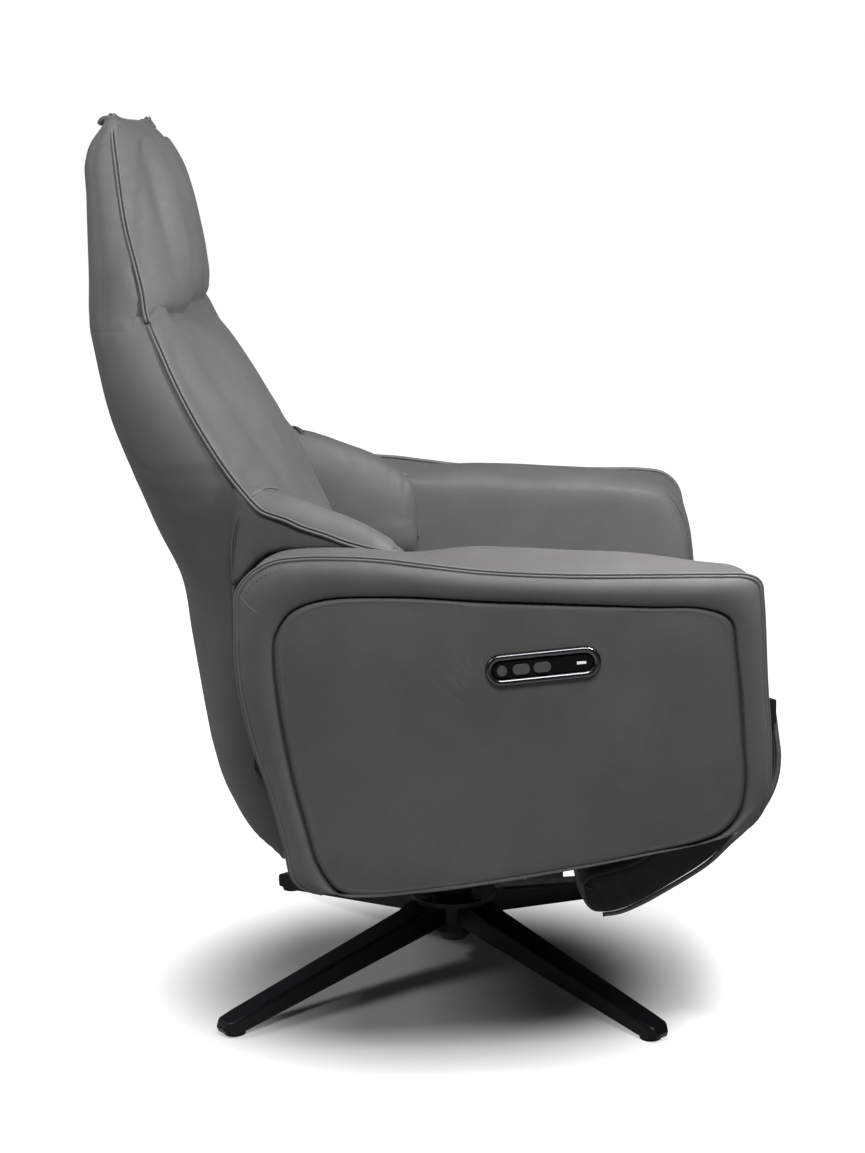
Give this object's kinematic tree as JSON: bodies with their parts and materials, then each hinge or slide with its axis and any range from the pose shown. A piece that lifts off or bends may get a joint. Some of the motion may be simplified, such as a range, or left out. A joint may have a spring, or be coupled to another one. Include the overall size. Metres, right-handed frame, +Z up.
{
  "type": "recliner armchair",
  "caption": "Padded power recliner armchair with a tilting headrest, winged back, pull-under footrest, wide boxed arms with inset side panels and a four-leg swivel base.",
  "frame": {"origin": "on the floor, on the swivel axis, at the middle of the four leg pads", "axes": "+Z up along the swivel axis; the chair faces -Y with the seat at rest; the sitter's right arm, which has the buttons, is on -X"},
  "size_m": [0.782, 0.817, 1.086],
  "materials": {
    "base_black": "satin",
    "glide_plastic": "matte",
    "bolt_steel": "satin",
    "column_steel": "satin",
    "frame_steel": "satin",
    "spring_steel": "satin",
    "plywood": "matte",
    "leather": "soft satin",
    "bezel_chrome": "polished dark",
    "gloss_black": "gloss",
    "button_grey": "satin",
    "light_white": "gloss",
    "motor_plastic": "matte"
  },
  "bodies": {
    "base": {"base_hub": "base_black", "leg_front_right": "base_black", "leg_front_left": "base_black", "leg_rear_left": "base_black", "leg_rear_right": "base_black", "glide_pads": "glide_plastic", "leg_bolts": "bolt_steel", "swivel_column": "column_steel", "swivel_race": "column_steel", "bearing_balls": "column_steel"},
    "backrest": {"back_frame": "frame_steel", "back_brackets": "frame_steel", "back_cushion": "leather", "back_shell": "leather", "wing_left": "leather", "wing_right": "leather", "drive_clevis": "frame_steel", "headrest_hinge_lower": "frame_steel"},
    "headrest": {"headrest_cushion": "leather", "headrest_plate": "plywood", "headrest_shell": "leather", "headrest_hinge_upper": "frame_steel"},
    "footrest": {"footrest_pad": "leather", "footrest_board": "plywood", "footrest_arms": "frame_steel", "footrest_shaft": "column_steel", "footrest_crank": "frame_steel"},
    "back_drive_rod": {"back_rod": "column_steel"},
    "footrest_drive_rod": {"footrest_rod": "column_steel"},
    "home_button": {"button_home": "button_grey"},
    "open_button": {"button_open": "button_grey"},
    "close_button": {"button_close": "button_grey"},
    "chassis": {"arm_bolts": "bolt_steel", "arm_frame_left": "plywood", "arm_frame_right": "plywood", "arm_pad_left": "leather", "arm_pad_right": "leather", "arm_side_panel_left": "leather", "arm_side_panel_right": "leather", "back_motor": "motor_plastic", "control_bezel": "bezel_chrome", "control_box": "motor_plastic", "control_housing": "motor_plastic", "control_plate": "gloss_black", "cross_tube_front": "frame_steel", "cross_tube_rear": "frame_steel", "dc_inlet": "motor_plastic", "footrest_motor": "motor_plastic", "mech_side_left": "frame_steel", "mech_side_right": "frame_steel", "motor_cradle": "frame_steel", "recline_pins": "column_steel", "seat_cushion": "leather", "seat_frame": "frame_steel", "seat_springs": "spring_steel", "status_light": "light_white", "swivel_bolts": "bolt_steel", "swivel_plate": "frame_steel"}
  },
  "joints": [
    {"name": "swivel", "type": "hinge", "parent": "base", "child": "chassis", "pos_m": [0, 0, 0.2], "axis": [0, 0, 1], "continuous": true},
    {"name": "recline", "type": "hinge", "parent": "chassis", "child": "backrest", "pos_m": [0, 0.2, 0.4], "axis": [-1, 0, 0], "range_deg": [0, 40]},
    {"name": "headrest_tilt", "type": "hinge", "parent": "backrest", "child": "headrest", "pos_m": [0, 0.385, 0.87], "axis": [1, 0, 0], "range_deg": [0, 25]},
    {"name": "footrest_lift", "type": "hinge", "parent": "chassis", "child": "footrest", "pos_m": [0, -0.358, 0.4], "axis": [-1, 0, 0], "range_deg": [0, 120]},
    {"name": "back_rod_slide", "type": "slide", "parent": "chassis", "child": "back_drive_rod", "axis": [0, -1, 0], "range_m": [0, 0.0715]},
    {"name": "footrest_rod_slide", "type": "slide", "parent": "chassis", "child": "footrest_drive_rod", "axis": [0, -1, 0], "range_m": [0, 0.0626]},
    {"name": "home_press", "type": "slide", "parent": "chassis", "child": "home_button", "axis": [1, 0, 0], "range_m": [0, 0.0015], "stiffness_N_per_m": 300},
    {"name": "open_press", "type": "slide", "parent": "chassis", "child": "open_button", "axis": [1, 0, 0], "range_m": [0, 0.0015], "stiffness_N_per_m": 300},
    {"name": "close_press", "type": "slide", "parent": "chassis", "child": "close_button", "axis": [1, 0, 0], "range_m": [0, 0.0015], "stiffness_N_per_m": 300}
  ],
  "couplings": [
    {"joint": "back_rod_slide", "follows": "recline", "m_per_rad": 0.10213},
    {"joint": "footrest_rod_slide", "follows": "footrest_lift", "m_per_rad": 0.029772}
  ]
}
